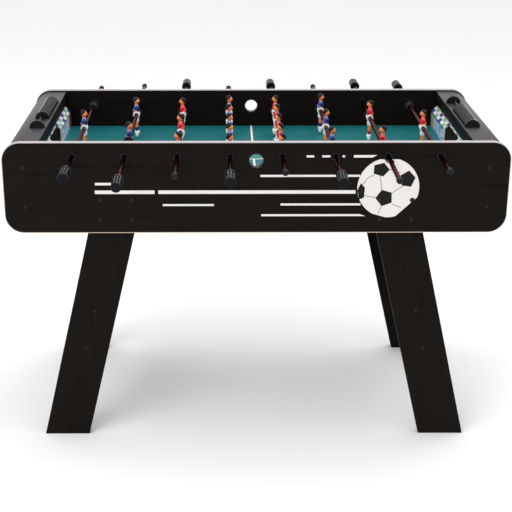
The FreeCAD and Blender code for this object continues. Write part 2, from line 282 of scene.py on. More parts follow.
# ------------------------------------------------------------------ finish helpers
class Finish:
    """One material while its nodes are placed."""

    def __init__(self, name, **values):
        self.material = bpy.data.materials.new(name)
        self.material.use_nodes = True
        self.tree = self.material.node_tree
        self.shader = self.tree.nodes["Principled BSDF"]
        for socket, value in values.items():
            self.shader.inputs[socket.replace("_", " ")].default_value = value

    def node(self, kind, inputs=None, **settings):
        made = self.tree.nodes.new("ShaderNode" + kind)
        for setting, value in settings.items():
            setattr(made, setting, value)
        return self.plug(made, inputs or {})

    def plug(self, made, inputs):
        """Links or sets a node's inputs."""
        for socket, value in inputs.items():
            if isinstance(value, bpy.types.NodeSocket):
                self.tree.links.new(value, made.inputs[socket])
            else:
                made.inputs[socket].default_value = value
        return made

    def place(self, scale=(1, 1, 1), rotation=(0, 0, 0), location=(0, 0, 0)):
        """Object coordinates, moved, turned and scaled."""
        coordinates = self.node("TexCoord").outputs["Object"]
        inputs = {"Vector": coordinates, "Scale": scale, "Rotation": rotation, "Location": location}
        return self.node("Mapping", inputs).outputs["Vector"]

    def axes(self, vector=None):
        vector = vector or self.place()
        return self.node("SeparateXYZ", {"Vector": vector}).outputs

    def math(self, operation, a, b=0.0):
        return self.node("Math", {0: a, 1: b}, operation=operation).outputs["Value"]

    def between(self, value, low, high):
        """1 where the value lies from low to high."""
        above = self.math("GREATER_THAN", value, low)
        return self.math("MULTIPLY", above, self.math("LESS_THAN", value, high))

    def both(self, a, b):
        return self.math("MULTIPLY", a, b)

    def either(self, a, b):
        return self.math("MAXIMUM", a, b)

    def mix(self, mask, a, b):
        """Colour a where the mask is 0 and b where it is 1."""
        return self.node("Mix", {0: mask, 6: a, 7: b}, data_type="RGBA").outputs[2]

    def ranged(self, value, low, high):
        """A 0 to 1 value spread from low to high."""
        return self.node("MapRange", {"Value": value, "To Min": low, "To Max": high}).outputs["Result"]

    def group(self, tree, **inputs):
        made = self.tree.nodes.new("ShaderNodeGroup")
        made.node_tree = tree
        return self.plug(made, inputs).outputs

    def clouds(self, scale, speckle, vector=None):
        """Soft variation from 0 to 1 over the piece."""
        vector = vector or self.place()
        return self.group(GROUPS["mottle"], Vector=vector, Scale=scale, Speckle=speckle)["Value"]

    def rough(self, value, low, high):
        """Roughness from low to high as the value goes from 0 to 1."""
        self.feed("Roughness", self.ranged(value, low, high))

    def pebbled(self, scale, strength, distance, vector=None):
        """Relief of fine pebbles."""
        vector = vector or self.place()
        self.bump(self.group(GROUPS["pebble"], Vector=vector, Scale=scale)["Height"], strength, distance)

    def feed(self, socket, value):
        self.tree.links.new(value, self.shader.inputs[socket])

    def bump(self, height, strength, distance=0.001):
        made = self.node("Bump", {"Height": height, "Strength": strength, "Distance": distance})
        self.feed("Normal", made.outputs["Normal"])


def effect_group(name, inputs, outputs):
    tree = bpy.data.node_groups.new(name, "ShaderNodeTree")
    for socket, kind, default in inputs:
        made = tree.interface.new_socket(socket, in_out="INPUT", socket_type="NodeSocket" + kind)
        if default is not None:
            made.default_value = default
    for socket, kind in outputs:
        tree.interface.new_socket(socket, in_out="OUTPUT", socket_type="NodeSocket" + kind)
    return tree, tree.nodes.new("NodeGroupInput").outputs, tree.nodes.new("NodeGroupOutput").inputs


def linked(tree, links):
    for start, end in links:
        tree.links.new(start, end)
    return tree


def mottle_group():
    """Soft cloudy variation with a finer speckle in it."""
    tree, given, put = effect_group(
        "Mottle",
        [("Vector", "Vector", None), ("Scale", "Float", 12.0), ("Speckle", "Float", 0.3)],
        [("Value", "Float")],
    )
    clouds = tree.nodes.new("ShaderNodeTexNoise")
    specks = tree.nodes.new("ShaderNodeTexNoise")
    finer = tree.nodes.new("ShaderNodeMath")
    finer.operation = "MULTIPLY"
    finer.inputs[1].default_value = 14.0
    blend = tree.nodes.new("ShaderNodeMix")
    clouds.inputs["Detail"].default_value = 3.0
    links = [
        (given["Vector"], clouds.inputs["Vector"]),
        (given["Vector"], specks.inputs["Vector"]),
        (given["Scale"], clouds.inputs["Scale"]),
        (given["Scale"], finer.inputs[0]),
        (finer.outputs[0], specks.inputs["Scale"]),
        (given["Speckle"], blend.inputs[0]),
        (clouds.outputs["Fac"], blend.inputs[2]),
        (specks.outputs["Fac"], blend.inputs[3]),
        (blend.outputs[0], put["Value"]),
    ]
    return linked(tree, links)


def grain_group():
    """Long wood pores along X, for printed board; the vector's scale sets their size."""
    tree, given, put = effect_group(
        "Board_Grain",
        [("Vector", "Vector", None), ("Scale", "Float", 60.0)],
        [("Grain", "Float"), ("Pores", "Float")],
    )
    stretch = tree.nodes.new("ShaderNodeMapping")
    stretch.inputs["Scale"].default_value = (0.05, 1.0, 1.0)
    fibres = tree.nodes.new("ShaderNodeTexNoise")
    fibres.inputs["Detail"].default_value = 5.0
    fibres.inputs["Distortion"].default_value = 0.6
    ramp = tree.nodes.new("ShaderNodeValToRGB")
    ramp.color_ramp.elements[0].position = 0.56
    ramp.color_ramp.elements[1].position = 0.66
    links = [
        (given["Vector"], stretch.inputs["Vector"]),
        (stretch.outputs["Vector"], fibres.inputs["Vector"]),
        (given["Scale"], fibres.inputs["Scale"]),
        (fibres.outputs["Fac"], put["Grain"]),
        (fibres.outputs["Fac"], ramp.inputs["Fac"]),
        (ramp.outputs["Color"], put["Pores"]),
    ]
    return linked(tree, links)


def pebble_group():
    """Fine rounded pebbles, as on moulded plastic and textured foil."""
    tree, given, put = effect_group(
        "Pebble", [("Vector", "Vector", None), ("Scale", "Float", 900.0)], [("Height", "Float")]
    )
    cells = tree.nodes.new("ShaderNodeTexVoronoi")
    cells.feature = "SMOOTH_F1"
    links = [
        (given["Vector"], cells.inputs["Vector"]),
        (given["Scale"], cells.inputs["Scale"]),
        (cells.outputs["Distance"], put["Height"]),
    ]
    return linked(tree, links)


GROUPS = {}
FINISHES = {}


def rgb(r, g, b):
    return (r, g, b, 1.0)


def shade(colour, share):
    """A colour made lighter or darker by a share."""
    return [c * share for c in colour[:3]] + [1.0]


def board_finish(name, colour, grain_turn, specular=0.05, rough=(0.46, 0.58)):
    """Black printed board: faint pores along the board in colour, gloss and relief."""
    made = Finish(name, Specular_IOR_Level=specular)
    vector = made.place(rotation=grain_turn)
    grain = made.group(GROUPS["grain"], Vector=vector, Scale=90.0)
    clouds = made.clouds(3.0, 0.1)
    warmer = shade(colour, 1.3)
    darker = shade(colour, 0.8)
    tone = made.mix(clouds, colour, warmer)
    made.feed("Base Color", made.mix(grain["Pores"], tone, darker))
    made.rough(grain["Grain"], rough[0], rough[1])
    made.bump(grain["Pores"], 0.12, -0.0001)
    return made.material


def moulded_finish(name, colour, rough=(0.38, 0.52), pebble=700.0, relief=0.25, **values):
    """Moulded plastic or rubber: fine pebbles, cloudy gloss and a slightly worn tone."""
    made = Finish(name, **values)
    vector = made.place()
    clouds = made.clouds(40.0, 0.4, vector)
    lighter = [min(1.0, c * 1.25 + 0.003) for c in colour[:3]] + [1.0]
    made.feed("Base Color", made.mix(clouds, colour, lighter))
    made.rough(clouds, rough[0], rough[1])
    made.pebbled(pebble, relief, 0.0002, vector)
    return made.material


def metal_finish(name, colour, rough, brushing=(60, 60, 60), **values):
    """Metal with fine streaks in tone and gloss; brushing is the streaks' density along each axis."""
    made = Finish(name, Metallic=1.0, **values)
    streaks = made.clouds(1.0, 0.5, made.place(scale=brushing))
    darker = shade(colour, 0.6)
    made.feed("Base Color", made.mix(streaks, colour, darker))
    made.rough(streaks, rough[0], rough[1])
    return made.material


def field_finish(colours):
    """Printed playing surface: centre line, centre circle and a fine woven-look print."""
    made = Finish("field_print", Specular_IOR_Level=0.25)
    place_of = made.axes()
    across, along = place_of["X"], place_of["Y"]
    radius = made.math("SQRT", made.math("ADD", made.both(across, across), made.both(along, along)))
    circle, half_line = 73 * MM, 2.6 * MM
    ring = made.between(radius, circle - half_line, circle + half_line)
    line = made.both(made.between(across, -half_line, half_line), made.math("GREATER_THAN", radius, circle))
    lines = made.either(ring, line)
    clouds = made.clouds(9.0, 0.25)
    teal = made.mix(clouds, colours.field, shade(colours.field, 1.18))
    inside = made.math("LESS_THAN", radius, circle)
    surface = made.mix(inside, teal, colours.field_circle)
    printed = made.mix(lines, surface, colours.print_white)
    below = made.math("LESS_THAN", place_of["Z"], FIELD_Z - 0.5 * MM)
    made.feed("Base Color", made.mix(below, printed, made.mix(clouds, colours.hardboard, colours.board)))
    made.rough(clouds, 0.35, 0.5)
    made.pebbled(1500.0, 0.12, 0.0001)
    return made.material


def band_finish(colours):
    """Pale edge band, warmer along the bottom of the sides."""
    made = Finish("edge_band", Specular_IOR_Level=0.3)
    clouds = made.clouds(40.0, 0.5)
    tone = made.mix(clouds, colours.band, shade(colours.band, 1.12))
    low = made.math("LESS_THAN", made.axes()["Z"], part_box("front_edge_trim")[0].z + 2 * MM)
    made.feed("Base Color", made.mix(low, tone, colours.band_low))
    made.rough(clouds, 0.35, 0.5)
    made.bump(clouds, 0.1, 0.0001)
    return made.material


def goal_wall_finish(colours):
    """Printed stand: rows of checks on the slope and pale blue hoardings on the upright."""
    made = Finish("goal_wall_print", Specular_IOR_Level=0.3)
    place_of = made.axes()
    side, height = place_of["Y"], place_of["Z"]
    bend = FIELD_Z + 43 * MM
    row_height, seat = 6.7 * MM, 56.0 * MM
    row = made.math("FLOOR", made.math("DIVIDE", made.math("SUBTRACT", height, bend), row_height))
    shift = made.math("ADD", made.math("DIVIDE", side, seat), made.math("MULTIPLY", row, 0.5))
    white_seat = made.math("LESS_THAN", made.math("FRACT", shift), 0.5)
    column = made.math("FLOOR", made.math("DIVIDE", side, seat))
    kind = made.math("FLOORED_MODULO", made.math("ADD", column, row), 2.0)
    seats = made.mix(kind, colours.seat_navy, colours.seat_green)
    seats = made.mix(white_seat, seats, colours.print_white)
    near_mouth = made.math("LESS_THAN", made.math("ABSOLUTE", side), 81 * MM)
    low_rows = made.math("LESS_THAN", row, 0.5)
    slope = made.mix(made.both(near_mouth, low_rows), seats, colours.print_white)
    upright = made.math("LESS_THAN", height, bend)
    marks = made.node("TexNoise", {"Vector": made.place(scale=(1, 1, 2.2)), "Scale": 60.0, "Detail": 4.0})
    ramp = made.node("ValToRGB", {"Fac": marks.outputs["Fac"]})
    ramp.color_ramp.elements[0].position = 0.40
    ramp.color_ramp.elements[1].position = 0.52
    hoarding = made.mix(ramp.outputs["Color"], colours.hoarding_blue, colours.hoarding_pale)
    panel = made.math("FRACT", made.math("DIVIDE", side, 68 * MM))
    joint = made.math("LESS_THAN", panel, 0.03)
    hoarding = made.mix(joint, hoarding, colours.seat_navy)
    far_end = made.math("GREATER_THAN", made.math("ABSOLUTE", side), 236 * MM)
    right_wall = made.math("GREATER_THAN", place_of["X"], 0.0)
    hoarding = made.mix(far_end, hoarding, made.mix(right_wall, colours.left_end, colours.right_end))
    # a navy strip just under the bend: the gap where the slope meets the upright, darkened with painted
    # shadow
    gap_and_shadow = made.between(height, bend - 5 * MM, bend)
    hoarding = made.mix(gap_and_shadow, hoarding, colours.seat_navy)
    post = made.between(made.math("ABSOLUTE", side), 74 * MM, 81 * MM)
    hoarding = made.mix(post, hoarding, colours.print_white)
    made.feed("Base Color", made.mix(upright, slope, hoarding))
    clouds = made.clouds(30.0, 0.4)
    made.rough(clouds, 0.3, 0.5)
    return made.material


def net_finish(colours):
    """Black tray sheet printed with a pale square net."""
    made = Finish("goal_net_print", Specular_IOR_Level=0.2)
    place_of = made.axes(made.place(rotation=(0, 0, math.radians(45))))
    mesh = 6 * MM
    cords = 0.0
    for axis in ("X", "Y", "Z"):
        cell = made.math("FRACT", made.math("DIVIDE", place_of[axis], mesh))
        cords = made.either(made.math("LESS_THAN", cell, 0.14), cords)
    made.feed("Base Color", made.mix(cords, colours.plastic, rgb(0.09, 0.08, 0.08)))
    clouds = made.clouds(30.0, 0.4)
    made.rough(clouds, 0.4, 0.6)
    return made.material


def print_finish(name, colour):
    """Screen-printed white on black board, with a few rubbed specks."""
    made = Finish(name, Specular_IOR_Level=0.15)
    clouds = made.clouds(60.0, 0.6)
    rubbed = shade(colour, 0.88)
    made.feed("Base Color", made.mix(clouds, colour, rubbed))
    made.rough(clouds, 0.35, 0.5)
    return made.material


def timber_finish(name, pale, dark):
    made = Finish(name, Specular_IOR_Level=0.3)
    grain = made.group(GROUPS["grain"], Vector=made.place(rotation=(0, math.radians(90), 0)), Scale=120.0)
    made.feed("Base Color", made.mix(grain["Grain"], pale, dark))
    made.rough(grain["Grain"], 0.5, 0.75)
    made.bump(grain["Grain"], 0.3, 0.0003)
    return made.material


# ------------------------------------------------------------------ settings
def size(name, description, default):
    return bpy.props.FloatProperty(name=name, description=description, default=default * MM, unit="LENGTH")


def colour(name, description, *default):
    return bpy.props.FloatVectorProperty(
        name=name, description=description, default=rgb(*default), subtype="COLOR", size=4, min=0, max=1
    )


class FoosballSizes(bpy.types.PropertyGroup):
    """Sizes of the visible pieces that the frame does not give."""

    hub_radius: size("Hub Radius", "Radius of a player's hub round the rod", 8.8)
    flute_depth: size("Flute Depth", "Depth of the grooves along a hand grip", 1.8)
    ball_radius: size("Printed Ball Radius", "Radius of the football printed on a side", 74.0)
    print_thickness: size("Print Thickness", "Thickness of the printed film", 0.25)
    board_rounding: size("Board Rounding", "Rounding along the edges of the boards", 1.0)


class FoosballColours(bpy.types.PropertyGroup):
    """Colours of the finishes."""

    board: colour("Black Board", "Printed board of the sides and legs", 0.0062, 0.0048, 0.0038)
    band: colour("Edge Band", "Edge band round the sides", 0.38, 0.355, 0.36)
    band_low: colour("Edge Band Low", "Edge band along the bottom of the sides", 0.62, 0.46, 0.36)
    hardboard: colour("Hardboard", "Unprinted underside of the playing surface", 0.16, 0.09, 0.05)
    end: colour("End Board", "Satin board at the two ends", 0.022, 0.018, 0.024)
    plastic: colour("Black Plastic", "Grips, bearings, cups and scorers", 0.006, 0.006, 0.008)
    field: colour("Field", "Playing surface", 0.008, 0.122, 0.132)
    field_circle: colour("Centre Circle", "Playing surface inside the circle", 0.020, 0.19, 0.17)
    print_white: colour("Print White", "Lines and printed shapes", 0.75, 0.73, 0.71)
    seat_navy: colour("Seat Navy", "Dark checks on the goal stand", 0.045, 0.055, 0.24)
    seat_green: colour("Seat Green", "Green checks on the goal stand", 0.17, 0.46, 0.26)
    hoarding_blue: colour("Hoarding Blue", "Darker blue of the goal wall", 0.16, 0.38, 0.66)
    hoarding_pale: colour("Hoarding Pale", "Paler blue of the goal wall", 0.66, 0.80, 0.90)
    left_end: colour("Left Wall End", "Tan at the ends of the left goal wall", 0.26, 0.10, 0.04)
    right_end: colour("Right Wall End", "Pale green at the ends of the right goal wall", 0.42, 0.48, 0.26)
    # dark chrome tinted maroon: the tint is a painted reflection of red surroundings
    rod: colour("Rod Steel With Red Reflection", "Dark chromed rods", 0.125, 0.056, 0.059)
    skin: colour("Skin", "Players' faces, hands and legs", 0.86, 0.23, 0.06)
    hair: colour("Hair", "Players' hair", 0.006, 0.005, 0.005)
    blue: colour("Blue Kit", "Blue team's shirt", 0.007, 0.022, 0.18)
    # the trim colours are a lighter kit colour: partly trim, partly a painted highlight along collar and
    # sleeve edges
    blue_trim: colour("Blue Trim", "Blue team's collar and cuffs", 0.16, 0.30, 0.75)
    blue_sock: colour("Blue Sock", "Blue team's socks", 0.010, 0.022, 0.11)
    red: colour("Red Kit", "Red team's shirt", 0.58, 0.007, 0.022)
    # lighter red trim: partly trim, partly a painted highlight along collar and sleeve edges
    red_trim: colour("Red Trim", "Red team's collar and cuffs", 0.80, 0.10, 0.11)
    red_sock: colour("Red Sock", "Red team's socks", 0.42, 0.010, 0.022)
    kit_white: colour("Kit White", "Shorts, hubs and boots", 0.82, 0.80, 0.80)
    floor: colour("Floor", "Plain pale floor", 0.90, 0.90, 0.90)


class TableSettings:
    """Gives each operator the sizes and colours of the scene."""

    bl_options = {"REGISTER", "UNDO"}

    @property
    def sizes(self):
        return bpy.context.scene.foosball_sizes

    @property
    def colours(self):
        return bpy.context.scene.foosball_colours


# ------------------------------------------------------------------ finishes
class FOOSBALL_OT_finishes(TableSettings, bpy.types.Operator):
    """Makes every finish of the table."""

    bl_idname = "foosball.finishes"
    bl_label = "Make Finishes"

    def execute(self, context):
        c = self.colours
        GROUPS.update(mottle=mottle_group(), grain=grain_group(), pebble=pebble_group())
        upright = (0, math.radians(90), 0)
        FINISHES.update(
            board=board_finish("side_board", c.board, (0, 0, 0)),
            leg=board_finish("leg_board", c.board, upright),
            end=board_finish("end_board", c.end, (0, 0, math.radians(90)), 0.35, (0.36, 0.5)),
            band=band_finish(c),
            plastic=moulded_finish(
                "black_plastic", c.plastic, (0.30, 0.44), 900.0, 0.2, Specular_IOR_Level=0.13
            ),
            grip=moulded_finish(
                "grip_plastic", c.plastic, (0.20, 0.32), 1200.0, 0.12, Specular_IOR_Level=0.3
            ),
            matt=moulded_finish("matt_plastic", c.plastic, (0.6, 0.75), 700.0, 0.3, Specular_IOR_Level=0.06),
            rubber=moulded_finish(
                "bumper_rubber", c.plastic, (0.55, 0.75), 600.0, 0.4, Specular_IOR_Level=0.25
            ),
            # dark chrome rods: the maroon base colour and the pinkish specular tint are a painted reflection
            # of red surroundings
            rod=metal_finish(
                "rod_chrome_red_reflection", c.rod, (0.14, 0.24), (40, 3, 40), Specular_Tint=rgb(0.64, 0.47, 0.47)
            ),
            steel=metal_finish("black_steel", rgb(0.030, 0.028, 0.027), (0.25, 0.4)),
            zinc=metal_finish("zinc_steel", rgb(0.55, 0.56, 0.58), (0.25, 0.45)),
            field=field_finish(c),
            goal=goal_wall_finish(c),
            net=net_finish(c),
            white=print_finish("printed_white", c.print_white),
            black=print_finish("printed_black", c.board),
            block=timber_finish("block_stained", rgb(0.050, 0.032, 0.022), rgb(0.022, 0.013, 0.009)),
        )
        FINISHES["hair"] = moulded_finish(
            "player_hair", c.hair, (0.35, 0.5), 1500.0, 0.08, Specular_IOR_Level=0.15
        )
        for name in ("skin", "blue", "blue_trim", "blue_sock", "red", "red_trim", "red_sock", "kit_white"):
            FINISHES[name] = moulded_finish(
                "player_" + name, getattr(c, name), (0.28, 0.42), 1500.0, 0.08, Coat_Weight=0.25
            )
        return {"FINISHED"}


# ------------------------------------------------------------------ cabinet
def keep_nodes(finish, *nodes):
    """CAD nodes whose shape is right get their finish."""
    for node in nodes:
        painted(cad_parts[node], finish)


def eased_copy(node, finish, slot, rounding):
    """A copy of a board's CAD node with its doubles merged and its edges eased."""
    piece = copy_of(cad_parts[node], node + "_board")
    piece.parent = None
    for key in list(piece.keys()):
        del piece[key]
    edit_all(piece)
    bpy.ops.mesh.customdata_custom_splitnormals_clear()
    merge_doubles()
    bpy.ops.mesh.dissolve_limited(angle_limit=math.radians(1))
    bpy.ops.object.mode_set(mode="OBJECT")
    bevelled(piece, rounding / MM, 2, 60)
    painted(piece, finish)
    return settle(piece, "table", slot, node)


class FOOSBALL_OT_cabinet(TableSettings, bpy.types.Operator):
    """Finishes the sides, ends, field and goals, and eases the boards' edges."""

    bl_idname = "foosball.cabinet"
    bl_label = "Cabinet"

    def execute(self, context):
        if "playfield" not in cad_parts:
            raise RuntimeError("the frame holds no playfield")
        keep_nodes("board", "front_side_panel", "back_side_panel")
        keep_nodes("band", "front_edge_trim", "back_edge_trim")
        keep_nodes("field", "playfield")
        keep_nodes("goal", "left_goal_wall", "right_goal_wall")
        keep_nodes("net", "left_goal_tray", "right_goal_tray")
        keep_nodes("block", "corner_blocks")
        lip = -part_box("left_end_panel")[1].x
        for side in ("left", "right"):
            panel = eased_copy(side + "_end_panel", "end", "end_board", self.sizes.board_rounding)
            panel.data.materials.append(FINISHES["black"])
            for face in panel.data.polygons:
                inward = abs(face.center.x) < lip + 12 * MM and face.center.z < cad_box[1].z - 24 * MM
                face.material_index = 1 if inward else 0
        return {"FINISHED"}


class FOOSBALL_OT_legs(TableSettings, bpy.types.Operator):
    """Splayed board legs and the stretchers between them."""

    bl_idname = "foosball.legs"
    bl_label = "Legs and Stretchers"

    def execute(self, context):
        for side in ("left", "right"):
            for depth in ("front", "back"):
                eased_copy(depth + "_" + side + "_leg", "leg", "black_board", self.sizes.board_rounding)
            eased_copy(side + "_leg_stretcher", "leg", "black_board", self.sizes.board_rounding)
        return {"FINISHED"}


# ------------------------------------------------------------------ printed graphics
def stripe(x0, x1, z, thick, film, lean=0.0):
    """A printed line from x0 to x1 at height z, its right-hand end leaning; in millimetres."""
    piece = block("stripe", (x0, -film, z - thick / 2), (x1, 0, z + thick / 2))
    if lean:
        select(piece, "VERT", lambda co: co.x > (x0 + x1) / 2 * MM and co.z > z * MM)
        bpy.ops.transform.translate(value=(lean * MM, 0, 0))
        bpy.ops.object.mode_set(mode="OBJECT")
    return piece


def printed_patch(x, z, half_x, half_z, turn, film):
    """A dark five-sided patch of the printed ball."""
    piece = primitive("cylinder", "patch", vertices=5, radius=1, depth=film)
    place(piece, rotation=(math.radians(90), math.radians(turn), 0))
    place(piece, (x, -1.4 * film, z), scale=(half_x, 1, half_z))
    return painted(piece, "black")


def printed_seam(start, end, film):
    """A thin dark line between two patches."""
    line = Vector((end[0] - start[0], 0, end[1] - start[1]))
    piece = primitive("cube", "seam", size=1)
    place(piece, scale=(line.length, film, 1.1 * MM))
    middle = ((start[0] + end[0]) / 2, -1.3 * film, (start[1] + end[1]) / 2)
    place(piece, middle, (0, -math.atan2(line.z, line.x), 0))
    return painted(piece, "black")


def printed_ball(radius, film):
    """The football as flat prints: a white disc, dark patches and thin seams, in shares of its radius."""
    disc = primitive("cylinder", "ball_disc", vertices=96, radius=radius, depth=film)
    place(disc, (0, -film / 2, 0), about_x(90))
    cuts = ((0.665, -0.59, (0.69, 0, -0.73)), (-0.45, -0.885, (-0.28, 0, -0.96)), (0, 0.95, (0, 0, 1)))
    for x, z, out in cuts:
        cut(disc, (x * radius / MM, 0, z * radius / MM), out)
    pieces = [painted(disc, "white")]
    for x, z, half_x, half_z, turn in (
        (-0.26, 0.61, 0.28, 0.24, 20),
        (0.61, 0.29, 0.26, 0.29, 8),
        (-0.11, -0.34, 0.29, 0.29, -20),
        (-0.87, -0.13, 0.13, 0.29, -10),
        (0.03, 0.875, 0.15, 0.07, 36),
    ):
        pieces.append(printed_patch(x * radius, z * radius, half_x * radius, half_z * radius, turn, film))
    for x0, z0, x1, z1 in (
        (-0.66, 0.34, -0.86, 0.08), (-0.28, 0.40, -0.20, -0.07), (0.00, 0.62, 0.38, 0.50),
        (0.13, -0.17, 0.50, 0.08), (0.14, -0.55, 0.44, -0.67), (-0.20, -0.62, -0.30, -0.88),
        (-0.46, 0.44, -0.66, 0.34), (-0.78, -0.26, -0.40, -0.33),
    ):
        start, end = (x0 * radius, z0 * radius), (x1 * radius, z1 * radius)
        pieces.append(printed_seam(start, end, film))
    return pieces


class FOOSBALL_OT_graphics(TableSettings, bpy.types.Operator):
    """Prints speed lines and a football on both long sides."""

    bl_idname = "foosball.graphics"
    bl_label = "Printed Graphics"

    def execute(self, context):
        film = self.sizes.print_thickness
        thin = film / MM
        lines = [
            (-385, -347, 678.2, 6.3, 0), (-386, -243, 657.8, 8.7, 0), (-234, 238, 657.8, 8.7, 0),
            (-224, -101, 625.5, 4.9, 0), (119, 137, 745.8, 5, 0), (156, 175.5, 745.8, 5, 0),
            (204, 210, 745.8, 5, 0), (231, 276, 745.8, 6, 10), (10, 247, 697.9, 5.2, 0),
            (59, 251, 626.6, 5.2, 0), (13, 264, 599.5, 5, -14),
        ]
        pieces = [stripe(x0, x1, z, thick, thin, lean) for x0, x1, z, thick, lean in lines]
        stripes = painted(joined("front_speed_lines", pieces), "white")
        place(stripes, (0, FRONT_Y, 0))
        ball = joined("front_football", printed_ball(self.sizes.ball_radius, film))
        place(ball, (316 * MM, FRONT_Y, 668 * MM))
        for piece in (stripes, ball):
            back = copy_of(piece, piece.name.replace("front", "back"))
            place(back, rotation=(0, 0, math.pi))
            settle(back, "table", "printed_wall")
            settle(piece, "table", "printed_wall")
        return {"FINISHED"}


# ------------------------------------------------------------------ bearings and cups
def both_flanges(bore, barrel, flange, thick, wall):
    """Rings of a sleeve through a side, flanged on both faces; the side runs from 0 to wall."""
    ease = 0.8
    inner = [(bore, -thick + ease), (bore + ease, -thick)]
    inner += [(flange - 2 * ease, -thick), (flange, -ease), (flange, 0)]
    outer = [(r, wall - z) for r, z in reversed(inner)]
    return inner + [(barrel, 0.0), (barrel, wall)] + outer


class FOOSBALL_OT_bearings(TableSettings, bpy.types.Operator):
    """Flanged rod bearings and the two ball entry cups."""

    bl_idname = "foosball.bearings"
    bl_label = "Bearings and Entry Cups"

    def execute(self, context):
        wall = (BACK_Y - INNER_Y) / MM
        master = turned("bearing", both_flanges(5.58, 7.8, 11.5, 3.0, wall), 40, True, 40)
        cup = turned("cup", both_flanges(17.0, 18.1, 20.0, 2.5, wall), 64, True, 40)
        painted(master, "plastic")
        painted(cup, "plastic")
        for side, y, out in (("front", FRONT_Y, 1), ("back", BACK_Y, -1)):
            bearings = []
            for index in ROWS:
                x, z = row_axis(index)
                made = copy_of(master, "bearing_%d" % index)
                bearings.append(place(made, (x, y, z), about_x(-90 * out)))
            settle(joined(side + "_bearings", bearings), "table", "black_plastic", side + "_rod_bearings")
        low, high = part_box("ball_entry_cups")
        z = (low.z + high.z) / 2
        cups = [
            place(copy_of(cup, "entry_cup"), (0, y, z), about_x(-90 * out))
            for y, out in ((FRONT_Y, 1), (BACK_Y, -1))
        ]
        settle(joined("ball_entry_rings", cups), "table", "black_plastic", "ball_entry_cups")
        drop(master, cup)
        return {"FINISHED"}


# ------------------------------------------------------------------ rods, bumpers, grips
class FOOSBALL_OT_rods(TableSettings, bpy.types.Operator):
    """Chromed rods with their rubber bumpers."""

    bl_idname = "foosball.rods"
    bl_label = "Rods and Bumpers"

    def execute(self, context):
        for index in ROWS:
            keep_nodes("rod", "row_%d_rod" % index)
            x, z = row_axis(index)
            node = "row_%d_bumpers" % index
            low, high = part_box(node)
            length = 20.0 if PLAYER_COUNT[index] == 1 else 10.0
            disc = length - 4.0
            rings = [(5.6, 0.5), (6.1, 0), (9.0, 0), (9.5, 0.5), (9.5, disc * 0.4), (8.7, disc * 0.5)]
            rings += [(9.5, disc * 0.6), (9.5, disc - 0.6), (10.2, disc), (12.9, disc), (13.5, disc + 0.6)]
            rings += [(13.5, length - 0.7), (12.8, length), (6.1, length), (5.6, length - 0.5)]
            for name, y, out in (("near", low.y, -1), ("far", high.y, 1)):
                made = turned("row_%d_%s_bumper" % (index, name), rings, 40, True)
                painted(made, "rubber")
                place(made, (x, y - out * length * MM, z), about_x(-90 * out))
                settle(made, "row_%d_carriage" % index, "bumper_rubber", node)
        return {"FINISHED"}


def fluted_grip(depth):
    """Hand grip along +Z: collar at 0, lengthwise flutes and a bevelled far end."""
    collar = [(5.6, 51), (5.6, 0.5), (6.1, 0), (12.6, 0), (13.5, 0.9), (13.5, 4.1), (12.8, 5), (11.0, 5.6)]
    handle = [(11.0, 6.6), (12.3, 8.2), (12.3, 57.5), (11.6, 59.6), (9.6, GRIP_LENGTH)]
    handle += [(8.6, GRIP_LENGTH), (8.0, 61.3), (0.5, 61.3)]
    around = 48
    piece = stack("grip", [(r, r, z) for r, z in collar + handle], around)
    low, high = 8.2 * MM, 57.5 * MM

    def groove(centre, normal):
        turn = round(math.degrees(math.atan2(normal.y, normal.x)) / (360 / around) - 0.5)
        return low < centre.z < high and abs(normal.z) < 0.1 and turn % 4 < 2

    def matt(centre):
        return centre.z > 59 * MM or math.hypot(centre.x, centre.y) < 11.6 * MM

    select(piece, "FACE", groove)
    bpy.ops.mesh.inset(thickness=0.2 * MM, use_even_offset=True)
    bpy.ops.transform.shrink_fatten(value=-depth)
    done_editing(piece)
    painted(smooth(piece, 30), "grip").data.materials.append(FINISHES["matt"])
    for face in piece.data.polygons:
        face.material_index = int(matt(face.center))
    return piece


class FOOSBALL_OT_grips(TableSettings, bpy.types.Operator):
    """Fluted hand grips and the caps on the rods' other ends."""

    bl_idname = "foosball.grips"
    bl_label = "Grips and Caps"

    def execute(self, context):
        grip = fluted_grip(self.sizes.flute_depth)
        turns = [math.radians(degrees) for degrees in range(0, 86, 12)]
        dome = [(7.5 * math.cos(turn), 6.5 + 7.5 * math.sin(turn)) for turn in turns]
        rings = [(5.6, 6.4), (5.6, 0.4), (6.0, 0), (7.1, 0), (7.5, 0.4), (7.5, 2.2), (7.1, 2.6), (7.5, 3.0)]
        cap = painted(turned("cap", rings + dome + [(0.3, CAP_LENGTH)], 32), "plastic")
        for index in ROWS:
            x, z = row_axis(index)
            node = "row_%d_grip_and_cap" % index
            low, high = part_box(node)
            out = -1 if TEAM[index] == "blue" else 1
            ends = {-1: low.y, 1: high.y}
            grip_turn = about_x(-90 * out)
            cap_turn = about_x(90 * out)
            y = ends[out] - out * GRIP_LENGTH * MM
            made = place(copy_of(grip, "row_%d_grip" % index), (x, y, z), grip_turn)
            settle(made, "row_%d" % index, "black_plastic", node)
            y = ends[-out] + out * CAP_LENGTH * MM
            made = place(copy_of(cap, "row_%d_cap" % index), (x, y, z), cap_turn)
            settle(made, "row_%d" % index, "black_plastic", node)
        drop(grip, cap)
        return {"FINISHED"}


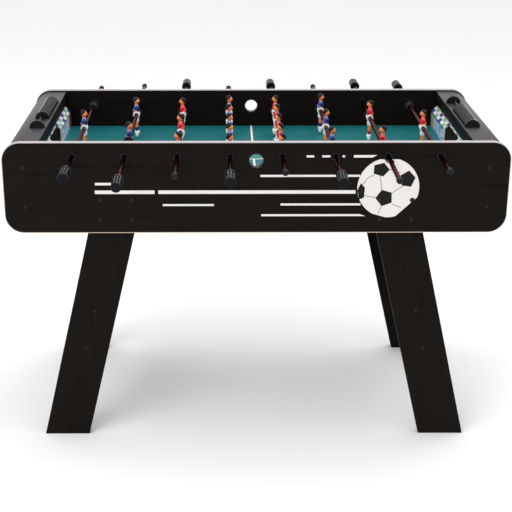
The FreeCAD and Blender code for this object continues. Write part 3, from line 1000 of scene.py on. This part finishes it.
# ------------------------------------------------------------------ players
def limb(name, start, end, radii, finish):
    """A tapered round limb from start to end, in millimetres."""
    start, end = Vector(start), Vector(end)
    length = (end - start).length
    first, last = radii
    rings = [(first * 0.5, -first * 0.85), (first * 0.9, -first * 0.4), (first, 0), (last, length)]
    rings += [(last * 0.9, length + last * 0.4), (last * 0.5, length + last * 0.85)]
    piece = turned(name, rings, 14, degrees=60)
    place(piece, start * MM, (end - start).to_track_quat("Z", "X").to_euler())
    return painted(piece, finish)


def pebble_shape(name, centre, radii, finish, segments=20):
    piece = primitive("uv_sphere", name, segments=segments, ring_count=segments // 2 + 2, radius=1)
    place(piece, [c * MM for c in centre], scale=[r * MM for r in radii])
    return painted(smooth(piece, 80), finish)


def body_part(name, rings, finish, around=24, y=0.0):
    piece = smooth(stack(name, rings, around), 50)
    place(piece, (0, y * MM, 0))
    return painted(piece, finish)


def head_pieces():
    """Head with a shaped jaw, ears, nose, eyes, mouth and a cap of hair."""
    head = pebble_shape("head", (0.2, 0, 36.2), (7.9, 7.3, 9.9), "skin", 24)
    select(head, "VERT", lambda co: co.z < 32 * MM)
    bpy.ops.transform.resize(value=(0.86, 0.82, 1), center_override=(0.8 * MM, 0, 30 * MM))
    bpy.ops.object.mode_set(mode="OBJECT")
    hair = pebble_shape("hair", (-0.7, 0, 37.3), (8.5, 8.0, 9.6), "hair", 24)
    cut(hair, (1.2, 0, 39.4), (0.62, 0, -0.78))
    pieces = [head, smooth(hair, 50)]
    pieces.append(limb("nose", (7.4, 0, 37.2), (8.6, 0, 34.8), (0.8, 1.1), "skin"))
    pieces.append(pebble_shape("mouth", (7.1, 0, 31.6), (0.5, 2.0, 0.5), "red_sock", 10))
    for side in (-1, 1):
        pieces.append(pebble_shape("ear", (-0.3, side * 7.3, 35.8), (1.6, 0.9, 2.3), "skin", 12))
        pieces.append(pebble_shape("eye", (6.9, side * 2.8, 38.0), (0.9, 1.2, 0.8), "kit_white", 10))
        pieces.append(pebble_shape("pupil", (7.5, side * 2.7, 38.0), (0.5, 0.6, 0.6), "hair", 10))
        pieces.append(limb("brow", (7.1, side * 1.4, 40.4), (6.6, side * 4.2, 40.2), (0.45, 0.35), "hair"))
    return pieces


def player_figure(name, team, hub_radius):
    """One player about a rod along Y at the origin, facing +X."""
    shirt, trim_and_highlight, sock = team, team + "_trim", team + "_sock"
    pieces = head_pieces()
    pieces.append(body_part("neck", [(3.5, 3.6, 22), (3.4, 3.4, 25), (3.7, 3.8, 29)], "skin", 16))
    torso = [(6.2, 7.2, 1), (6.6, 7.6, 5), (7.0, 7.9, 10), (7.6, 8.6, 15.5), (7.2, 8.8, 19.5)]
    torso += [(6.0, 7.6, 22.3), (4.4, 5.2, 24.0), (3.4, 3.6, 24.6)]
    pieces.append(body_part("shirt", torso, shirt))
    # collar, hem and cuffs take the lighter trim colour: partly kit trim, partly a painted highlight on the
    # edges
    collar = [(4.1, 4.4, 23.2), (4.9, 5.4, 23.6), (4.7, 5.0, 25.0), (4.0, 4.2, 25.4)]
    pieces.append(body_part("collar", collar, trim_and_highlight))
    hem = [(6.5, 7.5, 4.6), (7.0, 8.0, 5.2), (7.1, 8.1, 6.4), (6.7, 7.7, 7.0)]
    pieces.append(body_part("hem", hem, trim_and_highlight))
    for side in (-1, 1):
        shoulder, elbow, hand = (-0.4, side * 8.0, 20.2), (-6.6, side * 8.4, 12.2), (-0.6, side * 8.7, 9.4)
        pieces.append(limb("sleeve", shoulder, elbow, (2.7, 2.2), shirt))
        pieces.append(limb("cuff", (-5.9, side * 8.4, 13.1), (-6.7, side * 8.4, 12.1), (2.3, 2.3), trim_and_highlight))
        pieces.append(limb("forearm", elbow, hand, (1.8, 1.5), "skin"))
        pieces.append(pebble_shape("hand", (0.8, side * 8.7, 9.0), (2.1, 1.6, 1.7), "skin", 12))
        thigh = [(4.6, 3.7, -18), (4.4, 3.6, -22), (3.9, 3.3, -28), (4.0, 3.4, -32), (3.9, 3.4, -35)]
        pieces.append(body_part("leg", list(reversed(thigh)), "skin", 16, side * 4.2))
        calf = [(3.4, 3.0, -47), (3.9, 3.3, -43), (4.7, 3.9, -38), (4.8, 3.9, -35), (4.4, 3.7, -34.2)]
        pieces.append(body_part("sock", calf, sock, 16, side * 4.2))
    shorts = [(5.9, 8.2, -20.6), (6.6, 8.9, -20), (6.5, 8.8, -14), (6.2, 8.2, -8), (5.6, 7.4, -3)]
    pieces.append(body_part("shorts", shorts, "kit_white"))
    boots = [(3.2, 7.0, -61, 0.2), (3.7, 7.8, -60.2, 0.3), (4.9, 8.6, -56.5, 0.5), (6.3, 8.9, -51.5, 0.8)]
    boots += [(6.6, 8.9, -48.5, 0.6), (5.9, 8.4, -46, 0.2), (4.6, 7.2, -44.4, -0.3)]
    pieces.append(body_part("boots", boots, "kit_white", 28))
    hub = hub_radius / MM
    rings = [(5.6, -10.4), (6.0, -10.8), (hub - 0.9, -10.8), (hub, -9.9), (hub, -7.6), (hub - 0.8, -7.0)]
    rings += [(hub - 0.8, 7.0), (hub, 7.6), (hub, 9.9), (hub - 0.9, 10.8), (6.0, 10.8), (5.6, 10.4)]
    sleeve = place(turned("hub", rings, 32, True), rotation=about_x(90))
    pieces.append(painted(sleeve, "kit_white"))
    return joined(name, pieces)


class FOOSBALL_OT_players(TableSettings, bpy.types.Operator):
    """Moulded players on every rod."""

    bl_idname = "foosball.players"
    bl_label = "Players"

    def execute(self, context):
        hub = self.sizes.hub_radius
        masters = {team: player_figure(team + "_player", team, hub) for team in ("blue", "red")}
        place(masters["red"], rotation=(0, 0, math.pi))
        half = 11 * MM
        for index in ROWS:
            team, count = TEAM[index], PLAYER_COUNT[index]
            node = "row_%d_%s_players" % (index, team)
            x, z = row_axis(index)
            low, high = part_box(node)
            first, last = low.y + half, high.y - half
            for number in range(count):
                y = first + (last - first) * number / max(count - 1, 1)
                made = copy_of(masters[team], "row_%d_%s_player_%d" % (index, team, number + 1))
                place(made, (x, y, z))
                settle(made, "row_%d" % index, team + "_kit", node)
        drop(*masters.values())
        return {"FINISHED"}


# ------------------------------------------------------------------ fasteners
def bolt_head(radius, height, name):
    """Domed head on the Z axis from 0 to height, with a round recess."""
    rings = [(radius, 0), (radius, height * 0.35), (radius * 0.85, height * 0.75), (radius * 0.55, height)]
    piece = turned(name, rings, 24, degrees=50)
    select(piece, "FACE", lambda centre, normal: normal.z > 0.99 and centre.z > height * 0.9 * MM)
    bpy.ops.mesh.inset(thickness=radius * 0.12 * MM)
    bpy.ops.mesh.extrude_region_move(TRANSFORM_OT_translate={"value": (0, 0, -height * 0.6 * MM)})
    return smooth(done_editing(piece), 50)


def loose_parts(node):
    """Lowest and highest corner of each separate solid of a CAD node."""
    edit_all(copy_of(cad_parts[node], "probe"))
    merge_doubles()
    bpy.ops.mesh.separate(type="LOOSE")
    bpy.ops.object.mode_set(mode="OBJECT")
    parts = list(bpy.context.selected_objects)
    boxes = []
    for part in parts:
        corners = [v.co for v in part.data.vertices]
        low = Vector([min(c[k] for c in corners) for k in range(3)])
        high = Vector([max(c[k] for c in corners) for k in range(3)])
        boxes.append((low, high))
    drop(*parts)
    if not boxes:
        raise RuntimeError("no solids in " + node)
    return sorted(boxes, key=lambda b: tuple(round(v, 4) for v in b[0]))


class FOOSBALL_OT_fasteners(TableSettings, bpy.types.Operator):
    """Leg bolts with nuts, and the screws of the corners and legs."""

    bl_idname = "foosball.fasteners"
    bl_label = "Bolts, Nuts and Screws"

    def execute(self, context):
        head = painted(bolt_head(6.0, BOLT_HEAD_HEIGHT, "bolt_head"), "steel")
        screw_head = painted(bolt_head(4.5, SCREW_HEAD_HEIGHT, "screw_head"), "steel")
        nut = turned("nut", [(3.05, 0), (6.5, 0), (6.5, 5), (3.05, 5)], 6, True)
        painted(bevelled(nut, 0.5), "zinc")
        for node, slot, top, head_height in (
            ("leg_bolts", "black_steel", head, BOLT_HEAD_HEIGHT),
            ("cabinet_screws", "black_steel", screw_head, SCREW_HEAD_HEIGHT),
        ):
            pieces = []
            for low, high in loose_parts(node):
                x, z = (low.x + high.x) / 2, (low.z + high.z) / 2
                out = -1 if low.y + high.y < 0 else 1
                turn = about_x(-90 * out)
                if high.y - low.y < 6 * MM:
                    y = high.y if out < 0 else low.y
                    pieces.append(place(copy_of(nut, "nut"), (x, y, z), turn))
                    continue
                outer = low.y if out < 0 else high.y
                face = outer - out * head_height * MM
                pieces.append(place(copy_of(top, "head"), (x, face, z), turn))
                radius = 3.0 if node == "leg_bolts" else 2.0
                length = (high.y - low.y) / MM - head_height
                rings = [(radius, 0), (radius, length - 1), (radius * 0.7, length)]
                shank = turned("shank", rings, 12, degrees=50)
                painted(shank, "zinc")
                pieces.append(place(shank, (x, face, z), about_x(90 * out)))
            made = joined(node + "_set", pieces)
            settle(made, "table", slot, node)
        drop(head, screw_head, nut)
        return {"FINISHED"}


# ------------------------------------------------------------------ scorers
def numeral(text, height):
    """A flat printed number lying in the XY plane, as a mesh."""
    deselect()
    bpy.ops.object.text_add()
    piece = bpy.context.active_object
    piece.data.body = text
    piece.data.align_x = "CENTER"
    piece.data.align_y = "CENTER"
    piece.data.size = height
    piece.data.extrude = 0.15 * MM
    piece.data.resolution_u = 3
    bpy.ops.object.convert(target="MESH")
    piece = bpy.context.active_object
    edit_all(piece)
    merge_doubles(0.000005)
    return painted(done_editing(piece), "white")


def half_round(name, rings, around):
    """A round piece along Y, cut level so that it stands on its flat."""
    piece = stack(name, [(r, r, z) for r, z in rings], around)
    place(piece, rotation=about_x(-90))
    return smooth(cut(piece, (0, 0, 0), (0, 0, -1)), 35)


def drilled(piece, radius, height, length):
    """Drills a hole along Y through a piece at a height, in millimetres."""
    drill = primitive("cylinder", "drill", vertices=24, radius=radius * MM, depth=2 * length * MM)
    place(drill, (0, length / 2 * MM, height * MM), about_x(90))
    modified(piece, "BOOLEAN", operation="DIFFERENCE", solver="EXACT", object=drill)
    drop(drill)
    return smooth(piece, 35)


def ribbed_bead(length, rod_height):
    """A half-round bead with four grooves round it and a hole for its rod; in millimetres."""
    ease = 0.7
    rings = [(0.5, 0.0), (17.3, 0.0), (BEAD_RADIUS, ease)]
    for k in range(1, 5):
        middle = length * k / 5
        rings += [(BEAD_RADIUS, middle - 0.6), (17.1, middle - 0.3)]
        rings += [(17.1, middle + 0.3), (BEAD_RADIUS, middle + 0.6)]
    rings += [(BEAD_RADIUS, length - ease), (17.3, length), (0.5, length)]
    return painted(drilled(half_round("bead", rings, 56), 2.15, rod_height, length), "plastic")


class FOOSBALL_OT_scorers(TableSettings, bpy.types.Operator):
    """Bead scorers on both end panels, numbered one to ten."""

    bl_idname = "foosball.scorers"
    bl_label = "Scorers"

    def execute(self, context):
        keep_nodes("steel", "scorer_rods")
        rod_low, rod_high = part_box("scorer_rods")
        rod_z = (rod_low.z + rod_high.z) / 2
        low, high = loose_parts("left_score_beads")[0]
        master = ribbed_bead((high.y - low.y) / MM, (rod_z - low.z) / MM)
        for side in ("left", "right"):
            sign = -1 if side == "left" else 1
            boxes = loose_parts(side + "_score_beads")
            pieces = []
            order = sorted(boxes, key=lambda b: b[0].y * sign, reverse=True)
            for number, (low, high) in enumerate(order, 1):
                x = (low.x + high.x) / 2
                pieces.append(place(copy_of(master, "numbered_bead"), (x, low.y, low.z)))
                lean = math.radians(LABEL_LEAN_DEGREES) * sign
                label = painted(block("label", (-6.2, -6.6, -1.4), (6.2, 6.6, 0.35)), "plastic")
                bevelled(label, 0.3)
                figure = numeral(str(number), 13.5 * MM)
                place(figure, (0, 0, 0.45 * MM), (0, 0, math.radians(-90) * sign))
                tag = joined("tag", [label, figure])
                reach = LABEL_REACH * MM
                middle = (low.y + high.y) / 2
                spot = (x + reach * math.sin(lean), middle, low.z + reach * math.cos(lean))
                pieces.append(place(tag, spot, (0, lean, 0)))
            made = joined(side + "_beads_numbered", pieces)
            settle(made, side + "_beads", "bead_plastic", side + "_score_beads")
            brackets = []
            for low, high in loose_parts(side + "_scorer_brackets"):
                thick = (high.y - low.y) / MM
                rings = [(0.5, 0.0), (18.0, 0.0), (19.0, 1.0)]
                rings += [(19.0, thick - 1.0), (18.0, thick), (0.5, thick)]
                bracket = painted(half_round("bracket", rings, 56), "plastic")
                brackets.append(place(bracket, ((low.x + high.x) / 2, low.y, low.z)))
            made = joined(side + "_scorer_arches", brackets)
            settle(made, "table", "black_plastic", side + "_scorer_brackets")
        drop(master)
        return {"FINISHED"}


# ------------------------------------------------------------------ stage
class FOOSBALL_OT_stage(TableSettings, bpy.types.Operator):
    """Pale floor, soft lights and the camera."""

    bl_idname = "foosball.stage"
    bl_label = "Stage"

    def execute(self, context):
        floor = primitive("plane", "floor", size=40)
        made = Finish("floor_paint", Specular_IOR_Level=0.1)
        clouds = made.clouds(2.0, 0.2)
        made.rough(clouds, 0.6, 0.75)
        tint = self.colours.floor
        made.feed("Base Color", made.mix(clouds, tint, shade(tint, 0.985)))
        floor.data.materials.append(made.material)
        place(floor, (0, 0, -0.0005))
        world = bpy.data.worlds.new("studio")
        world.use_nodes = True
        world.node_tree.nodes["Background"].inputs["Color"].default_value = rgb(1.0, 1.0, 1.0)
        world.node_tree.nodes["Background"].inputs["Strength"].default_value = 1.0
        bpy.context.scene.world = world
        for name, location, width, watts in (
            ("key_light", (-1.6, -2.4, 3.4), 2.2, 60.0),
            ("top_light", (0.6, 0.8, 3.6), 2.6, 50.0),
        ):
            deselect()
            bpy.ops.object.light_add(type="AREA", location=location)
            light = bpy.context.active_object
            light.name = name
            light.data.size = width
            light.data.energy = watts
            aim = Vector(LIGHTS_AIM) - Vector(location)
            light.rotation_euler = aim.to_track_quat("-Z", "Y").to_euler()
        bpy.context.scene.view_settings.view_transform = "Standard"
        deselect()
        bpy.ops.object.camera_add(location=CAMERA_PLACE)
        camera = bpy.context.active_object
        camera.rotation_euler = [math.radians(turn) for turn in CAMERA_TURN]
        camera.data.lens = CAMERA_LENS
        camera.data.shift_x, camera.data.shift_y = CAMERA_SHIFT
        bpy.context.scene.camera = camera
        return {"FINISHED"}


class FOOSBALL_PT_panel(bpy.types.Panel):
    """Lists the table's operators in the sidebar."""

    bl_idname = "FOOSBALL_PT_panel"
    bl_label = "Foosball Table"
    bl_space_type = "VIEW_3D"
    bl_region_type = "UI"
    bl_category = "Foosball"

    def draw(self, context):
        for operator in OPERATORS:
            self.layout.operator(operator.bl_idname)


OPERATORS = (
    FOOSBALL_OT_finishes,
    FOOSBALL_OT_cabinet,
    FOOSBALL_OT_legs,
    FOOSBALL_OT_graphics,
    FOOSBALL_OT_bearings,
    FOOSBALL_OT_rods,
    FOOSBALL_OT_grips,
    FOOSBALL_OT_players,
    FOOSBALL_OT_fasteners,
    FOOSBALL_OT_scorers,
    FOOSBALL_OT_stage,
)
CLASSES = (FoosballSizes, FoosballColours) + OPERATORS + (FOOSBALL_PT_panel,)


def register():
    for cls in CLASSES:
        bpy.utils.register_class(cls)
    bpy.types.Scene.foosball_sizes = bpy.props.PointerProperty(type=FoosballSizes)
    bpy.types.Scene.foosball_colours = bpy.props.PointerProperty(type=FoosballColours)


def unregister():
    del bpy.types.Scene.foosball_colours
    del bpy.types.Scene.foosball_sizes
    for cls in reversed(CLASSES):
        bpy.utils.unregister_class(cls)


def main():
    register()
    for operator in OPERATORS:
        getattr(bpy.ops.foosball, operator.bl_idname.split(".")[1])()


if __name__ == "__main__":
    main()
